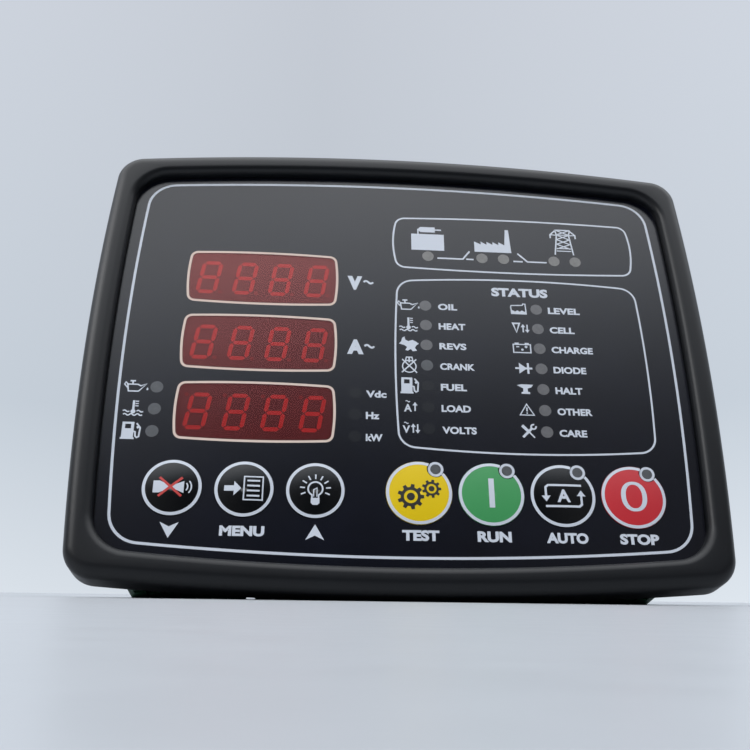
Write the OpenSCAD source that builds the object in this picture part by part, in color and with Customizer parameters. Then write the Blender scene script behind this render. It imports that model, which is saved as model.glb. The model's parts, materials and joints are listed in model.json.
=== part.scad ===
// Genset controller for a switchboard door.
// Millimetres. +Y runs into the panel, +Z is up and the face looks along -Y.
// The origin is the middle of the panel cut-out, on the plane where the bezel seats on the panel.

/* [Bezel] */
// Width of the bezel at the middle of its bowed sides
bezel_w = 204.6; // [198:0.2:230]
// Height of the bezel at the middle of its bowed sides
bezel_h = 160; // [157:1:185]
// Radius of the bow along all four sides
bow_r = 890; // [800:10:2000]
// Corner radius of the bezel's outline
corner_out = 13; // [11:0.5:16]
// Corner radius of the opening around the face
corner_in = 9; // [8:0.5:11]
// Width of the raised rim
rim_w = 8; // [7.5:0.25:9]
// Depth of the bezel from the panel to the crest of the rim
bezel_t = 11; // [10:0.25:13]
// Radius that rolls the rim off to the outside
roll_r = 4; // [3:0.25:4.5]
// Radius of the rim's inner shoulder
shoulder_r = 2.5; // [1.5:0.25:3]
// Depth of the face below the crest
recess = 4; // [3:0.25:4.5]
// Thickness of the moulded face plate
plate_t = 2.4; // [2:0.1:3]
// Width of the panel seal
seal_w = 3; // [2:0.25:3.5]
// Thickness of the panel seal
seal_t = 1.5; // [1:0.1:2]

/* [Rear case] */
// How far the bezel overlaps the panel beside the case
lap_x = 11.3; // [9.5:0.1:11.5]
// How far the bezel overlaps the panel above and below the case
lap_y = 11; // [10:0.25:11.5]
// Wall thickness of the case
case_wall = 2.4; // [2:0.1:3]
// Corner radius of the case
case_corner = 4; // [3:0.25:6]
// Depth of the case behind the panel
case_depth = 42; // [41:0.5:55]
// Depth of the ledges that carry the terminals
ledge_depth = 24; // [22:0.5:26]
// Height of the ledges that carry the terminals
ledge_h = 22; // [21:0.25:23]

/* [Face film and displays] */
// Thickness of the printed face film
film_t = 0.4; // [0.2:0.05:0.6]
// Width of a display window
window_w = 50.5; // [49.5:0.25:52.5]
// Height of a display window
window_h = 20.4; // [19.5:0.1:22]
// Width of a display module
module_w = 49.5; // [48.5:0.25:50]
// Height of a display module
module_h = 19; // [17:0.25:19.2]
// Thickness of a display module
module_t = 8; // [7:0.25:9]
// Height of a digit
digit_h = 12.7; // [11:0.1:14]
// Width of a digit
digit_w = 6.9; // [6:0.1:8]
// Distance from one digit to the next
digit_pitch = 11.95; // [11.4:0.05:12.2]
// Slant of a digit in degrees
digit_lean = 9; // [0:1:12]
// Width of a segment bar
bar_w = 1.3; // [0.9:0.1:1.6]

/* [Lamps] */
// Diameter of a lamp
lamp_d = 3; // [2.5:0.1:3.2]
// Length of a lamp
lamp_l = 5.3; // [4.5:0.1:5.8]
// Diameter of the light hole in front of a lamp
light_d = 4; // [3.6:0.1:4.4]
// Alarm rows
alarm_rows = 7; // [4:1:7]

/* [Keys] */
// Land between two menu keys
menu_key_land = 3.6; // [3:0.05:6]
// Land between two mode keys
mode_key_land = 1.95; // [1.9:0.05:4]
// Height of the dome on a key
key_dome = 0.5; // [0.2:0.05:0.8]
// Travel of a key
key_travel = 0.3; // [0.2:0.05:0.4]
// Radius of the lamp tab that cuts into a mode key
tab_r = 2.5; // [2.3:0.05:2.7]
// Height of a key switch with its plunger
switch_h = 4.8; // [4.6:0.1:5]

/* [Boards] */
// Thickness of the circuit boards
board_t = 1.6; // [1.2:0.1:2]
// Gap between the boards and the case walls
board_gap = 1.6; // [1:0.1:2.5]
// Radius of a machine screw's shank
screw_r = 1.45; // [1.2:0.05:1.6]

/* [Terminals] */
// Distance between signal terminals
signal_pitch = 5.08; // [4.9:0.01:5.1]
// Distance between mains terminals
mains_pitch = 7.62; // [7.2:0.01:7.7]
// Height of a terminal header above its board
header_h = 14.9; // [14:0.1:15.5]
// Depth of a terminal plug behind its ledge
plug_depth = 16.5; // [16:0.25:18]

/* [Hidden] */
$fn = 48;
bow_fn = 720;
// Two flat faces meet at touch, and a loose fit leaves fit on each side
fit = 0.3;
snug = 0.1;
through = 1;
// Swept edges stay this far inside the walls that they join
skim = 0.02;
sweep_lap = 1;
// Corner circles stand out by this much, so that they cross the bowed sides at a clear angle
nudge = 0.03;
// Height of a screw's head, which the main board leaves room for
screw_head_h = 2;

// Levels, counted towards the viewer from the panel
film_front = bezel_t - recess;
plate_front = film_front - film_t;
plate_back = plate_front - plate_t;
module_front = plate_front - fit;
board_front = module_front - module_t;
board_back = board_front - board_t;
ledge_inside = case_wall - ledge_depth;
main_back = ledge_inside + screw_head_h + fit;
main_front = main_back + board_t;
hump_inside = case_wall - case_depth;
pillar_end = board_back - 4;

// Plan sizes
face_w = bezel_w - 2 * rim_w;
face_h = bezel_h - 2 * rim_w;
case_w = bezel_w - 2 * lap_x;
case_h = bezel_h - 2 * lap_y;
hump_h = case_h - 2 * ledge_h;
board_w = case_w - 2 * case_wall - 2 * board_gap;
board_h = case_h - 2 * case_wall - 2 * board_gap;
window_bow = [240, 45];
window_corner = 2;
module_slot = [module_w + 2 * fit, module_h + 2 * fit];

// Places on the face, as parts of its width and height
display_x = -0.251 * face_w;
display_pitch = 0.17306 * face_h;
display_y = [for (i = [0 : 2]) 0.1939 * face_h - i * display_pitch];
key_y = -0.3325 * face_h;
menu_key_pitch = 0.11352 * face_w;
mode_key_pitch = 0.11842 * face_w;
menu_key_r = (menu_key_pitch - menu_key_land) / 2;
mode_key_r = (mode_key_pitch - mode_key_land) / 2;
menu_keys = [for (i = [0 : 2]) [-0.3745 * face_w + i * menu_key_pitch, key_y]];
mode_keys = [for (i = [0 : 3]) [0.37513 * face_w - (3 - i) * mode_key_pitch, key_y]];
tab_offset = mode_key_r * [0.52, 0.77];
lamp_pitch = 0.05292 * face_h;
alarm_x = face_w * [0.03892, 0.23998];
alarm_y = 0.13479 * face_h;
mimic_x = face_w * [0.04637, 0.14663, 0.18693, 0.28181, 0.32174];
mimic_y = 0.27493 * face_h;
group_y = [for (i = [-1 : 1]) display_y[2] - i * lamp_pitch];
alarm_lamps = [for (x = alarm_x, i = [0 : alarm_rows - 1]) [x, alarm_y - i * lamp_pitch]];
mimic_lamps = [for (x = mimic_x) [x, mimic_y]];
side_lamps = [for (y = group_y) [-0.41569 * face_w, y]];
unit_lamps = [for (y = group_y) [-0.08505 * face_w, y]];
key_lamps = [for (k = mode_keys) k + tab_offset];
face_lamps = concat(alarm_lamps, mimic_lamps, side_lamps, unit_lamps);

// Fixing points
pillar_r = 5;
pillar_x = case_w / 2 - case_wall - pillar_r - 0.6;
pillar_y = 0.25 * face_h;
pillars = [for (sx = [-1, 1], sy = [-1, 1]) [sx * pillar_x, sy * pillar_y]];
boss_r = 3;
pillar_boss_r = pillar_r - 0.5;
edge_boss_x = case_w / 2 - case_wall - 4.4;
inner_boss_x = mode_keys[0].x + mode_key_pitch * 1.5;
gap_boss_x = (menu_keys[2].x + mode_keys[0].x) / 2 - 3;
top_boss_y = board_h / 2 - 6.6;
board_bosses = [
    [-edge_boss_x, 5], [edge_boss_x, 5],
    [gap_boss_x, top_boss_y], [inner_boss_x, top_boss_y],
    [gap_boss_x, -top_boss_y - 2.6], [inner_boss_x, -top_boss_y - 2.6]
];
spacers = [for (sx = [-1, 1], sy = [-1, 1]) [sx * (board_w / 2 - 23), sy * (board_h / 2 - 3.4)]];
screw_hole_r = screw_r + 0.15;
screw_head_r = 2 * screw_r;
screw_l = 6;
case_screw_l = 11;
well_r = screw_head_r + 0.5;
well_floor = pillar_end - 3;

// Keys and switches
switch_w = 6;
switch_body_h = 3.5;
plunger_r = 1.75;
plunger_sink = 1.4;
key_back = board_front + switch_h;
key_rim = film_front + 0.2;
key_lip = 0.9;

// Terminals, with each block given as its middle, its count of ways and its pitch
header_v = hump_h / 2 + 0.4;
header_depth = 10.6;
header_wall = 1.4;
shell_wall = 3;
plug_v = case_h / 2 + 0.2;
plug_face = header_v + header_depth + fit;
cavity_z = -ledge_depth - 1.2;
cavity_h = cavity_z - (main_back - header_h + header_wall);
block_gap = 3;
end_wall = 0.8;
low_count = floor((board_w - 2 * block_gap - 6 * end_wall) / signal_pitch);
low_left = round(0.22 * low_count);
low_middle = round(0.375 * low_count);
low_ways = [low_left, low_middle, low_count - low_left - low_middle];
low_pitches = [signal_pitch, signal_pitch, signal_pitch];
top_ways = [4, 4, 7];
top_pitches = [mains_pitch, mains_pitch, signal_pitch];
pin_r = 0.5;
wire_w = 3.2;
terminal_screw_r = 1.8;
terminal_screw_h = 2.4;
terminal_hole_depth = 4.5;
cut_w = 0.6;

function sum(list, upto) = upto == 0 ? 0 : list[upto - 1] + sum(list, upto - 1);
function lengths(ways, pitches) = [for (i = [0 : len(ways) - 1]) ways[i] * pitches[i] + 2 * end_wall];
function row_length(ways, pitches) =
    sum(lengths(ways, pitches), len(ways)) + (len(ways) - 1) * block_gap;
function block_x(ways, pitches, i) =
    let (all = lengths(ways, pitches))
    sum(all, i) + i * block_gap + all[i] / 2 - row_length(ways, pitches) / 2;
low_blocks = [for (i = [0 : 2]) [block_x(low_ways, low_pitches, i), low_ways[i], low_pitches[i]]];
top_blocks = [for (i = [0 : 2]) [block_x(top_ways, top_pitches, i), top_ways[i], top_pitches[i]]];
function block_length(b) = b[1] * b[2] + 2 * end_wall;
function way_x(b, k) = b[0] + (k - (b[1] - 1) / 2) * b[2];

// Components on the boards
relay = [19, 15.5, 15];
relay_pitch = 21;
relay_count = 6;
relay_y = -hump_h / 2 + 13;
sensor = [16, 12, 14];
sensor_x = [for (i = [0 : 2]) -board_w / 2 + 27 + i * 20];
capacitor_r = 6.3;
capacitor_h = 16;
capacitor_x = [for (i = [0, 1]) board_w / 2 - 47 + i * 16];
regulator = [10, 4.5, 15];
regulator_x = board_w / 2 - 17;
part_y = hump_h / 2 - 17;
chip_w = 12;
chip_t = 1.6;
chip_legs = 11;
chip_at = [-0.23 * board_w, -4];
link_pins = 10;
link_pitch = 2.54;
link_at = [0.16 * board_w, 0];
link_base_h = 2.5;
link_socket_h = 8.5;

// Face-on drawing plane: x right, y up, z out of the panel
module face_on() {
    rotate([90, 0, 0]) children();
}

module at(points, z) {
    for (p = points) translate([p.x, p.y, z]) children();
}

// A bowed rectangle has four arcs that meet four corner circles smoothly
function bow_pair(bow) = is_list(bow) ? bow : [bow, bow];
function corner_centre(w, h, bow, r) =
    let (long = bow_pair(bow)[0], short = bow_pair(bow)[1])
    let (a = long - h / 2, b = short - w / 2, d = sqrt(a * a + b * b))
    let (l = (pow(long - r, 2) - pow(short - r, 2) + d * d) / (2 * d))
    let (k = sqrt(pow(long - r, 2) - l * l))
    [(-l * b + k * a) / d, -a + (l * a + k * b) / d];

module bowed(w, h, bow, r) {
    long = bow_pair(bow)[0];
    short = bow_pair(bow)[1];
    c = corner_centre(w, h, bow, r);
    top = atan2(c.x, c.y + long - h / 2);
    side = atan2(c.y, c.x + short - w / 2);
    tip = c + r * [sin(top), cos(top)];
    end = c + r * [cos(side), sin(side)];
    intersection() {
        intersection_for (s = [-1, 1]) translate([0, s * (h / 2 - long)]) circle(r = long, $fn = bow_fn);
        intersection_for (s = [-1, 1]) translate([s * (w / 2 - short), 0]) circle(r = short, $fn = bow_fn);
        polygon([
            tip, [tip.x, h], [-tip.x, h], [-tip.x, tip.y],
            [-end.x, end.y], [-w, end.y], [-w, -end.y], -end,
            -tip, [-tip.x, -h], [tip.x, -h], [tip.x, -tip.y],
            [end.x, -end.y], [w, -end.y], [w, end.y], end
        ]);
    }
    for (sx = [-1, 1], sy = [-1, 1]) translate([sx * (c.x + nudge), sy * (c.y + nudge)]) circle(r = r);
}

// A round bar that follows a bowed rectangle, its corners a hair thinner so that they end inside the sides
module bead(w, h, bow, r, thick) {
    c = corner_centre(w, h, bow, r);
    top = atan2(c.x, c.y + bow - h / 2);
    side = atan2(c.y, c.x + bow - w / 2);
    over = sweep_lap / r * 180 / PI;
    for (turn = [0, 180]) rotate([0, 0, turn]) {
        translate([0, h / 2 - bow, 0]) rotate([0, 0, 90 - top])
            rotate_extrude(angle = 2 * top, $fn = bow_fn)
                translate([bow, 0]) circle(r = thick - skim);
        translate([w / 2 - bow, 0, 0]) rotate([0, 0, -side])
            rotate_extrude(angle = 2 * side, $fn = bow_fn)
                translate([bow, 0]) circle(r = thick - skim);
        for (s = [0, 1]) mirror([s, 0, 0]) translate([c.x, c.y, 0]) rotate([0, 0, side - over])
            rotate_extrude(angle = 90 - top - side + 2 * over)
                translate([r, 0]) circle(r = thick - 3 * skim);
    }
}

module rounded(w, h, r) {
    square([w, h - 2 * r], center = true);
    square([w - 2 * r, h], center = true);
    for (sx = [-1, 1], sy = [-1, 1]) translate([sx * (w / 2 - r), sy * (h / 2 - r)]) circle(r = r);
}

module bezel_outline(inset) {
    bowed(bezel_w - 2 * inset, bezel_h - 2 * inset, bow_r - inset, corner_out - inset);
}

module face_outline(grow) {
    bowed(face_w + 2 * grow, face_h + 2 * grow, bow_r + grow, corner_in + grow);
}

// Rolled rim: a flat land with a rolled outside and a rounded shoulder above the face
module rolled_rim() {
    linear_extrude(plate_front) bezel_outline(0);
    linear_extrude(bezel_t - roll_r) difference() {
        bezel_outline(0);
        face_outline(0);
    }
    linear_extrude(bezel_t - shoulder_r) difference() {
        bezel_outline(roll_r);
        face_outline(0);
    }
    linear_extrude(bezel_t) difference() {
        bezel_outline(roll_r);
        face_outline(shoulder_r);
    }
    translate([0, 0, bezel_t - roll_r])
        bead(bezel_w - 2 * roll_r, bezel_h - 2 * roll_r, bow_r - roll_r, corner_out - roll_r, roll_r);
    translate([0, 0, bezel_t - shoulder_r])
        bead(face_w + 2 * shoulder_r, face_h + 2 * shoulder_r, bow_r + shoulder_r,
            corner_in + shoulder_r, shoulder_r);
}

module key_opening(gap) {
    at(menu_keys, 0) circle(r = menu_key_r + gap);
    for (k = mode_keys) translate(k) difference() {
        circle(r = mode_key_r + gap);
        translate(tab_offset) circle(r = tab_r);
    }
}

module front_bezel() {
    color("#2b2d30") face_on() difference() {
        union() {
            difference() {
                rolled_rim();
                translate([0, 0, -through]) linear_extrude(plate_back + through)
                    rounded(case_w + 2 * fit, case_h + 2 * fit, case_corner + fit);
                translate([0, 0, plate_back - through]) linear_extrude(plate_t + 2 * through) {
                    key_opening(fit);
                    for (y = display_y) translate([display_x, y]) square(module_slot, center = true);
                    for (p = face_lamps) translate(p) circle(d = light_d);
                    for (p = key_lamps) translate(p) circle(d = lamp_d + 2 * snug);
                }
                translate([0, 0, -through]) linear_extrude(seal_t + through) seal_outline(0);
            }
            at(board_bosses, board_front) cylinder(r = boss_r, h = plate_back - board_front + skim);
            at(pillars, pillar_end) cylinder(r = pillar_boss_r, h = plate_back - pillar_end + skim);
        }
        at(board_bosses, board_front - through) cylinder(r = screw_hole_r, h = screw_l + through);
        at(pillars, pillar_end - through) cylinder(r = screw_hole_r, h = case_screw_l + through);
    }
}

module seal_outline(gap) {
    difference() {
        bezel_outline(2 + gap);
        bezel_outline(2 + seal_w - gap);
    }
}

module panel_seal() {
    color("#1b1b1b") face_on() linear_extrude(seal_t) seal_outline(snug);
}

module window_outline(gap) {
    bowed(window_w - 2 * gap, window_h - 2 * gap, window_bow, window_corner);
}

module face_film() {
    color("#17191c") face_on() translate([0, 0, plate_front]) linear_extrude(film_t) difference() {
        face_outline(-fit);
        key_opening(2 * snug);
        for (y = display_y) translate([display_x, y]) window_outline(0);
    }
}

module window(i) {
    color("#7a1c20") face_on() translate([display_x, display_y[i], plate_front])
        linear_extrude(film_t) window_outline(snug / 2);
}

module display(i) {
    color("#4a4a4c") face_on() translate([display_x, display_y[i], board_front])
        linear_extrude(module_t) rounded(module_w, module_h, 0.6);
}

// One segment bar, drawn along x between two joints and slanted with the digit
function slant(p) = [p.x + p.y * tan(digit_lean), p.y];
module bar(from, to) {
    along = (to - from) / norm(to - from);
    across = [-along.y, along.x] * bar_w / 2;
    gap = along * bar_w * 0.2;
    nose = along * bar_w / 2;
    a = from + gap;
    b = to - gap;
    outline = [a, a + nose + across, b - nose + across, b, b - nose - across, a + nose - across];
    polygon([for (p = outline) slant(p)]);
}

module digit() {
    x = (digit_w - bar_w) / 2;
    y = (digit_h - bar_w) / 2;
    for (row = [-1 : 1]) bar([-x, row * y], [x, row * y]);
    for (side = [-1, 1], low = [-1, 0]) bar([side * x, low * y], [side * x, (low + 1) * y]);
    translate(slant([x + bar_w * 1.5, -y])) circle(d = bar_w);
}

// The low display sits upside down, so that its points stand at the top left
module digits(i) {
    color("#b8403c") face_on() translate([display_x, display_y[i], module_front])
        rotate([0, 0, i == 2 ? 180 : 0]) linear_extrude(fit / 2)
            for (k = [0 : 3]) translate([(k - 1.5) * digit_pitch, 0]) digit();
}

lamp_tip = plate_front - 2 * snug;
module lamps(points) {
    at(points, lamp_tip - lamp_l) {
        cylinder(d = lamp_d + 0.8, h = 1);
        cylinder(d = lamp_d, h = lamp_l - lamp_d / 2);
        translate([0, 0, lamp_l - lamp_d / 2]) sphere(d = lamp_d);
    }
}

module alarm_lamps() {
    color("#c9ccd0") face_on() lamps(alarm_lamps);
}

module mimic_lamps() {
    color("#c9ccd0") face_on() lamps(mimic_lamps);
}

module status_lamps() {
    color("#c9ccd0") face_on() lamps(concat(side_lamps, unit_lamps));
}

module key_lamps() {
    color("#c9ccd0") face_on() lamps(key_lamps);
}

module lamp_spacers() {
    spacer_h = lamp_tip - lamp_l - board_front;
    color("#e4e4e0") face_on() at(concat(face_lamps, key_lamps), board_front) difference() {
        cylinder(d = lamp_d + 0.8, h = spacer_h);
        translate([0, 0, -through]) cylinder(d = lamp_d - 1, h = spacer_h + 2 * through);
    }
}

// A key is a domed cap with a lip behind the face plate
module key_cap(r) {
    dome_r = (r * r + key_dome * key_dome) / (2 * key_dome);
    intersection() {
        translate([0, 0, key_back]) cylinder(r = r, h = key_rim + 2 * key_dome - key_back);
        translate([0, 0, key_rim + key_dome - dome_r]) sphere(r = dome_r, $fn = 512);
    }
    translate([0, 0, key_back]) cylinder(r = r + key_lip, h = plate_back - snug * 2 - key_back);
}

module menu_key(i) {
    color("#101113") face_on() translate(menu_keys[i]) key_cap(menu_key_r);
}

module mode_key(i, tint) {
    color(tint) face_on() translate(mode_keys[i]) difference() {
        key_cap(mode_key_r);
        translate([tab_offset.x, tab_offset.y, 0]) cylinder(r = tab_r + fit, h = bezel_t);
    }
}

module plunger(p) {
    bottom = board_front + switch_body_h - plunger_sink;
    color("#2a2a2a") face_on() translate([p.x, p.y, bottom]) cylinder(r = plunger_r, h = key_back - bottom);
}

module key_switches() {
    color("#3c3c3e") face_on() at(concat(menu_keys, mode_keys), board_front) difference() {
        linear_extrude(switch_body_h) rounded(switch_w, switch_w, 0.5);
        translate([0, 0, switch_body_h - plunger_sink - 2 * key_travel])
            cylinder(r = plunger_r + 0.05, h = plunger_sink + 2 * key_travel + through);
    }
}

module board_blank() {
    difference() {
        square([board_w, board_h], center = true);
        for (p = pillars) translate(p) circle(r = pillar_r + fit);
        for (p = spacers) translate(p) circle(r = screw_hole_r);
    }
}

module display_board() {
    color("#1f5a36") face_on() translate([0, 0, board_back]) linear_extrude(board_t) difference() {
        board_blank();
        for (p = board_bosses) translate(p) circle(r = screw_hole_r);
    }
}

module main_board() {
    color("#1f5a36") face_on() translate([0, 0, main_back]) linear_extrude(board_t) board_blank();
}

module board_spacers() {
    length = board_back - main_front;
    color("#b9a05a") face_on() at(spacers, main_front) difference() {
        cylinder(r = 2 * screw_r + 0.3, h = length, $fn = 6);
        translate([0, 0, -through]) cylinder(r = screw_r + 0.05, h = length + 2 * through);
    }
}

// Pan-head screw with its shank along +z and a crossed recess in the head
module pan_screw(length) {
    cylinder(r = screw_r, h = length);
    difference() {
        translate([0, 0, -screw_head_h]) cylinder(r = screw_head_r, h = screw_head_h);
        for (turn = [0, 90]) rotate([0, 0, turn])
            translate([0, 0, -screw_head_h]) cube([screw_head_r * 1.2, 0.6, screw_head_h], center = true);
    }
}

module board_screws() {
    color("silver") face_on() {
        at(board_bosses, board_back) pan_screw(screw_l);
        at(spacers, main_back) pan_screw(screw_l);
        at(spacers, board_front) mirror([0, 0, 1]) pan_screw(screw_l);
    }
}

link_grid = [for (i = [0 : link_pins - 1], row = [-0.5, 0.5]) link_pitch * [i - (link_pins - 1) / 2, row]];
link_size = link_pitch * [link_pins, 2];

module link_header() {
    color("#1c1c1c") face_on() translate([link_at.x, link_at.y, 0]) {
        translate([0, 0, board_back - link_base_h])
            linear_extrude(link_base_h) square(link_size, center = true);
        at(link_grid, main_front + link_socket_h / 2)
            cylinder(r = 0.35, h = board_back - link_base_h - main_front - link_socket_h / 2);
    }
}

module link_socket() {
    color("#1c1c1c") face_on() translate([link_at.x, link_at.y, main_front]) difference() {
        linear_extrude(link_socket_h) square(link_size, center = true);
        at(link_grid, link_socket_h / 2 - 0.5) cylinder(r = 0.5, h = link_socket_h);
    }
}

module controller_chip() {
    color("#202022") face_on() translate([chip_at.x, chip_at.y, board_back - chip_t]) {
        translate([0, 0, 0.2]) linear_extrude(chip_t - 0.2) square(chip_w, center = true);
        for (turn = [0 : 90 : 270], i = [0 : chip_legs - 1]) rotate([0, 0, turn])
            translate([(i - (chip_legs - 1) / 2) * 0.9 - 0.2, chip_w / 2 - 0.1, chip_t - 0.5])
                cube([0.4, 1.1, 0.5]);
    }
}

module relays() {
    color("#2c4a78") face_on() for (i = [0 : relay_count - 1])
        translate([(i - (relay_count - 1) / 2) * relay_pitch, relay_y, main_back - relay.z])
            linear_extrude(relay.z) rounded(relay.x, relay.y, 0.8);
}

module current_sensors() {
    color("#202225") face_on() for (x = sensor_x) translate([x, part_y, main_back - sensor.z])
        linear_extrude(sensor.z) rounded(sensor.x, sensor.y, 1.2);
}

module capacitors() {
    color("#23304a") face_on() for (x = capacitor_x)
        translate([x, part_y, main_back - capacitor_h]) difference() {
            cylinder(r = capacitor_r, h = capacitor_h);
            translate([0, 0, capacitor_h - 3])
                rotate_extrude() translate([capacitor_r + 0.3, 0]) circle(r = 0.8);
        }
}

module voltage_regulator() {
    tab_h = 5;
    color("#26262a") face_on() translate([regulator_x, part_y, main_back - regulator.z]) difference() {
        translate([-regulator.x / 2, -regulator.y / 2, 0]) cube(regulator);
        translate([-regulator.x, -regulator.y / 2 + 1.3, -through])
            cube([2 * regulator.x, regulator.y, tab_h + through]);
        translate([0, 0, tab_h / 2]) rotate([90, 0, 0]) cylinder(r = 1.6, h = 2 * regulator.y, center = true);
    }
}

// Terminal blocks are drawn for the upper row, and mirrored for the lower one
module terminal_row(side) {
    face_on() mirror([0, side < 0 ? 1 : 0, 0]) children();
}

module header(b) {
    length = block_length(b);
    translate([b[0] - length / 2, header_v, main_back - header_h]) difference() {
        cube([length, header_depth, header_h]);
        translate([end_wall, shell_wall, header_wall])
            cube([length - 2 * end_wall, header_depth, cavity_h]);
    }
}

module plug(b) {
    length = block_length(b);
    inside_z = main_back - header_h + header_wall;
    tip_v = header_v + shell_wall + 2 * fit;
    screw_v = (plug_face + plug_v) / 2 + 1;
    back = -ledge_depth - fit - plug_depth;
    difference() {
        union() {
            translate([b[0] - length / 2, plug_face, back]) cube([length, plug_v - plug_face, plug_depth]);
            translate([b[0] - length / 2 + end_wall + fit, tip_v, inside_z + fit])
                cube([length - 2 * end_wall - 2 * fit, plug_face - tip_v + skim, cavity_h - 2 * fit]);
        }
        for (k = [0 : b[1] - 1]) translate([way_x(b, k), 0, 0]) {
            translate([-wire_w / 2, plug_v - 7, inside_z]) cube([wire_w, 7 + through, wire_w]);
            translate([0, screw_v, back - through])
                cylinder(r = terminal_screw_r + snug, h = terminal_hole_depth + through);
            translate([0, tip_v - through, inside_z + cavity_h / 2]) rotate([-90, 0, 0])
                cylinder(r = pin_r + fit, h = plug_face - tip_v);
        }
        for (k = [1 : b[1] - 1]) translate([way_x(b, k) - b[2] / 2 - cut_w / 2, 0, 0]) {
            translate([0, plug_v - cut_w, back - through]) cube([cut_w, 2 * cut_w, plug_depth + 2 * through]);
            translate([0, plug_face - through, back - through]) cube([cut_w, plug_v, cut_w + through]);
        }
        chamfer = 2.4;
        translate([b[0], plug_face, back]) rotate([45, 0, 0])
            cube([2 * length, chamfer, chamfer], center = true);
    }
}

module low_headers() {
    color("#2f7d4a") terminal_row(-1) for (b = low_blocks) header(b);
}

module top_headers() {
    color("#2f7d4a") terminal_row(1) for (b = top_blocks) header(b);
}

module low_plug(i) {
    color("#2f8a4e") terminal_row(-1) plug(low_blocks[i]);
}

module top_plug(i) {
    color("#2f8a4e") terminal_row(1) plug(top_blocks[i]);
}

module block_pins(blocks) {
    start = header_v + shell_wall;
    for (b = blocks, k = [0 : b[1] - 1])
        translate([way_x(b, k), start, main_back - header_h + header_wall + cavity_h / 2]) rotate([-90, 0, 0])
            cylinder(r = pin_r, h = plug_face - start - 2);
}

module terminal_pins() {
    color("silver") {
        terminal_row(-1) block_pins(low_blocks);
        terminal_row(1) block_pins(top_blocks);
    }
}

module block_screws(blocks) {
    screw_v = (plug_face + plug_v) / 2 + 1;
    seat = -ledge_depth - fit - plug_depth + terminal_hole_depth;
    for (b = blocks, k = [0 : b[1] - 1])
        translate([way_x(b, k), screw_v, seat - terminal_screw_h]) difference() {
            cylinder(r = terminal_screw_r, h = terminal_screw_h);
            cube([3 * terminal_screw_r, 0.7, 1.6], center = true);
        }
}

module terminal_screws() {
    color("silver") {
        terminal_row(-1) block_screws(low_blocks);
        terminal_row(1) block_screws(top_blocks);
    }
}

module header_slots(blocks) {
    for (b = blocks) translate([b[0] - block_length(b) / 2 - fit, header_v - fit, -ledge_depth - through])
        cube([block_length(b) + 2 * fit, header_depth + 2 * fit, case_wall + 2 * through]);
}

// Slots in the side walls take the hooks of the panel brackets
slot_w = 12;
slot_h = 3.8;
slot_y = 20;
slot_z = (board_back + main_front) / 2;

module rear_case() {
    lip = plate_back - fit;
    inner_w = case_w - 2 * case_wall;
    inner_corner = case_corner - case_wall / 2;
    color("#26282b") face_on() difference() {
        union() {
            difference() {
                union() {
                    translate([0, 0, -ledge_depth]) linear_extrude(ledge_depth + lip)
                        rounded(case_w, case_h, case_corner);
                    translate([0, 0, -case_depth]) linear_extrude(case_depth)
                        rounded(case_w, hump_h, case_corner);
                }
                translate([0, 0, ledge_inside]) linear_extrude(ledge_depth + lip)
                    rounded(inner_w, case_h - 2 * case_wall, inner_corner);
                translate([0, 0, hump_inside]) linear_extrude(case_depth)
                    rounded(inner_w, hump_h - 2 * case_wall, inner_corner);
            }
            at(pillars, hump_inside - skim) cylinder(r = pillar_r, h = pillar_end - hump_inside + skim);
        }
        at(pillars, -case_depth - through) cylinder(r = well_r, h = well_floor + case_depth + through);
        at(pillars, well_floor - through) cylinder(r = screw_hole_r, h = pillar_end - well_floor + 2 * through);
        header_slots(top_blocks);
        mirror([0, 1, 0]) header_slots(low_blocks);
        for (sx = [-1, 1], sy = [-1, 1]) translate([sx * case_w / 2, sy * slot_y, slot_z])
            cube([4 * case_wall, slot_w, slot_h], center = true);
    }
}

module case_screws() {
    color("silver") face_on() at(pillars, well_floor) pan_screw(case_screw_l);
}

front_bezel();
panel_seal();
face_film();
window(0);  // window_top
window(1);  // window_middle
window(2);  // window_low
display(0);  // display_top
display(1);  // display_middle
display(2);  // display_low
digits(0);  // digits_top
digits(1);  // digits_middle
digits(2);  // digits_low
alarm_lamps();
mimic_lamps();
status_lamps();
key_lamps();
lamp_spacers();
menu_key(0);  // key_mute
menu_key(1);  // key_menu
menu_key(2);  // key_lamp_test
mode_key(0, "#e5c80c");  // key_test
mode_key(1, "#4a9a56");  // key_run
mode_key(2, "#101113");  // key_auto
mode_key(3, "#b0303a");  // key_stop
plunger(menu_keys[0]);  // plunger_mute
plunger(menu_keys[1]);  // plunger_menu
plunger(menu_keys[2]);  // plunger_lamp_test
plunger(mode_keys[0]);  // plunger_test
plunger(mode_keys[1]);  // plunger_run
plunger(mode_keys[2]);  // plunger_auto
plunger(mode_keys[3]);  // plunger_stop
key_switches();
display_board();
main_board();
board_spacers();
board_screws();
link_header();
link_socket();
controller_chip();
relays();
current_sensors();
capacitors();
voltage_regulator();
low_headers();
top_headers();
low_plug(0);  // low_plug_left
low_plug(1);  // low_plug_middle
low_plug(2);  // low_plug_right
top_plug(0);  // top_plug_left
top_plug(1);  // top_plug_middle
top_plug(2);  // top_plug_right
terminal_pins();
terminal_screws();
rear_case();
case_screws();
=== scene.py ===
"""Looks of the genset controller: camera, floor, light, materials and the print on its face."""

import json
import math

import bmesh
import bpy
from mathutils import Matrix, Vector
from mathutils.geometry import tessellate_polygon


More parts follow.
